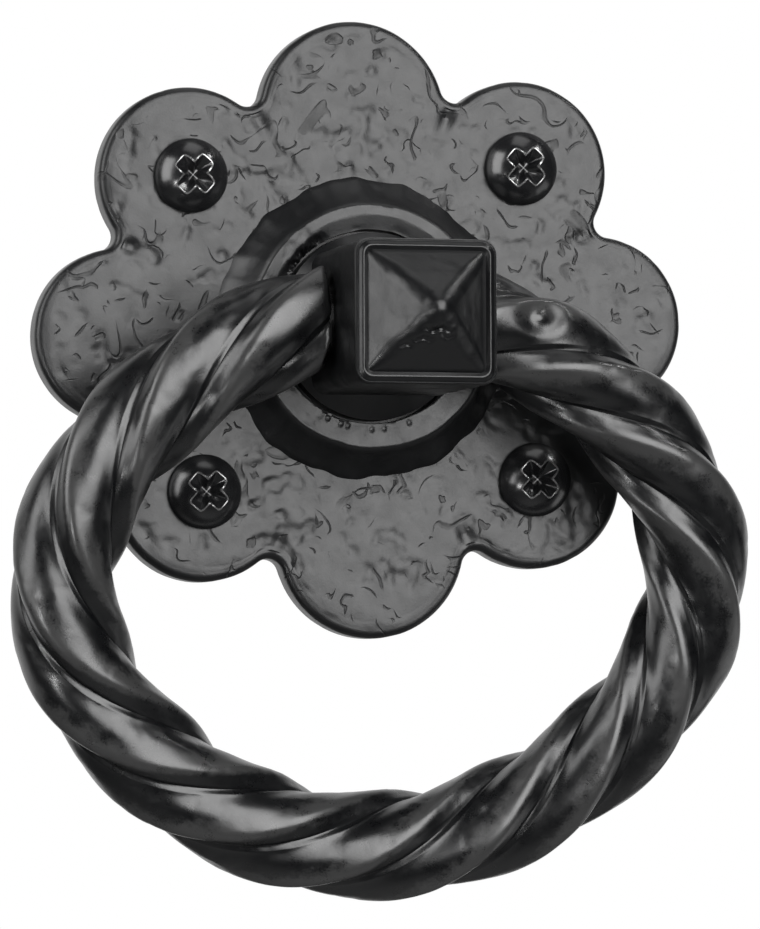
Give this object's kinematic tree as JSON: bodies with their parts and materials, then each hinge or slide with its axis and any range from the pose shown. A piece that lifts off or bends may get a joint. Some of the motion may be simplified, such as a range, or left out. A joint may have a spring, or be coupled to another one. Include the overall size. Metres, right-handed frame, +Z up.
{
  "type": "ring pull handle",
  "caption": "Black iron ring pull: a twisted ring hung from a square boss that turns in a lobed, hammered rose, screwed to a door or gate with dome-head wood screws.",
  "frame": {"origin": "centre of the rose's back face, midway between the four screws", "axes": "+Z up, -Y out of the door towards the user, +Y into the door, +X to the right seen from the front"},
  "size_m": [0.1011, 0.0651, 0.1188],
  "materials": {
    "black_iron": "semi-gloss black paint on hammered cast iron",
    "black_iron_boss": "semi-gloss black paint on smooth cast iron",
    "black_iron_ring": "semi-gloss black paint on cast iron",
    "black_screw": "gloss black steel",
    "steel": "plain zinc-plated steel"
  },
  "bodies": {
    "rose": {"rose": "black_iron", "screw_upper_left": "black_screw", "screw_upper_right": "black_screw", "screw_lower_left": "black_screw", "screw_lower_right": "black_screw"},
    "boss": {"boss": "black_iron_boss", "back_washer": "steel", "retaining_clip": "steel"},
    "ring": {"ring": "black_iron_ring"}
  },
  "joints": [
    {"name": "boss_turn", "type": "hinge", "parent": "rose", "child": "boss", "pos_m": [0, 0, 0], "axis": [0, -1, 0], "continuous": true},
    {"name": "ring_swing", "type": "hinge", "parent": "boss", "child": "ring", "pos_m": [0, -0.0209, 0], "axis": [-0.9991, 0, 0.0427], "range_deg": [0, 201]}
  ]
}
